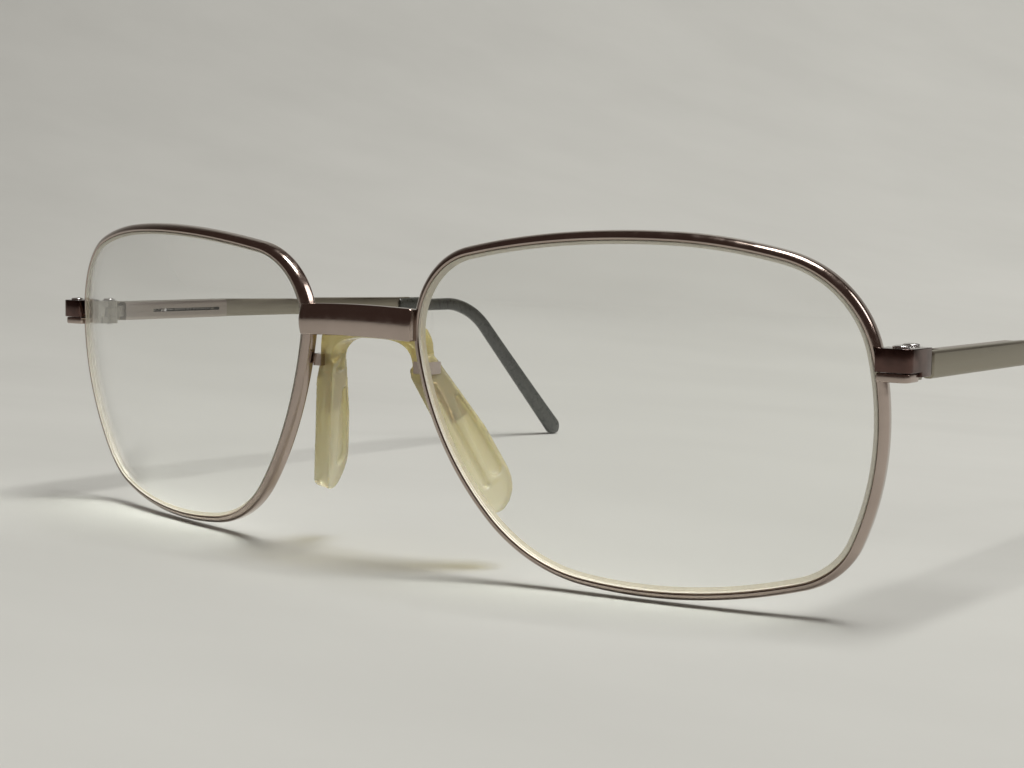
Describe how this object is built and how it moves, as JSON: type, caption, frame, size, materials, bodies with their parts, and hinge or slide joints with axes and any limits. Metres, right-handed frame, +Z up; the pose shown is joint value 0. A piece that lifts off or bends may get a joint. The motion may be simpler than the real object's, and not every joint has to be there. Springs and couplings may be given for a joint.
{
  "type": "eyeglasses frame",
  "caption": "Full-rim metal eyeglasses with clear lenses, a wide bar bridge, a one-piece nose saddle, spring-hinged folding temples and bent plastic ear tips.",
  "frame": {"origin": "centre of the footprint, on the surface that the open frame stands on", "axes": "+Z up; the front faces -Y and the temples run towards +Y; +X to the right as seen from the front"},
  "size_m": [0.1408, 0.129, 0.0432],
  "materials": {
    "frame_metal": "glossy dark brown lacquered plating with pinkish copper highlights",
    "temple_metal": "satin taupe plated metal",
    "hinge_metal": "plain satin nickel silver",
    "screw_steel": "bright turned steel",
    "spring_steel": "drawn spring wire",
    "lens": "clear polished lens with a ground bevel",
    "saddle_plastic": "translucent plastic, yellowed with age",
    "tip_plastic": "dark grey-green plastic, slightly translucent at the bend"
  },
  "bodies": {
    "front": {"bridge_bar": "frame_metal", "nose_saddle": "saddle_plastic", "rim_right": "frame_metal", "lens_right": "lens", "endpiece_right": "frame_metal", "rim_lock_right": "frame_metal", "rim_lock_screw_right": "screw_steel", "hinge_leaf_right": "hinge_metal", "hinge_screw_right": "screw_steel", "saddle_bracket_right": "hinge_metal", "rim_left": "frame_metal", "lens_left": "lens", "endpiece_left": "frame_metal", "rim_lock_left": "frame_metal", "rim_lock_screw_left": "screw_steel", "hinge_leaf_left": "hinge_metal", "hinge_screw_left": "screw_steel", "saddle_bracket_left": "hinge_metal"},
    "sled_right": {"spring_sled_right": "hinge_metal"},
    "temple_right": {"temple_bar_right": "temple_metal", "temple_tip_right": "tip_plastic", "spring_housing_right": "temple_metal", "spring_stop_right": "screw_steel", "flex_spring_right": "spring_steel"},
    "sled_left": {"spring_sled_left": "hinge_metal"},
    "temple_left": {"temple_bar_left": "temple_metal", "temple_tip_left": "tip_plastic", "spring_housing_left": "temple_metal", "spring_stop_left": "screw_steel", "flex_spring_left": "spring_steel"}
  },
  "joints": [
    {"name": "fold_right", "type": "hinge", "parent": "front", "child": "sled_right", "pos_m": [0.0669, -0.04733, 0.02885], "axis": [0, 0, 1], "range_deg": [-4, 86]},
    {"name": "flex_right", "type": "slide", "parent": "sled_right", "child": "temple_right", "axis": [0, 1, 0], "range_m": [0, 0.001], "stiffness_N_per_m": 2000, "springref_m": -0.001, "deforming": ["flex_spring_right"]},
    {"name": "fold_left", "type": "hinge", "parent": "front", "child": "sled_left", "pos_m": [-0.0669, -0.04733, 0.02885], "axis": [0, 0, -1], "range_deg": [-4, 90]},
    {"name": "flex_left", "type": "slide", "parent": "sled_left", "child": "temple_left", "axis": [0, 1, 0], "range_m": [0, 0.001], "stiffness_N_per_m": 2000, "springref_m": -0.001, "deforming": ["flex_spring_left"]}
  ]
}
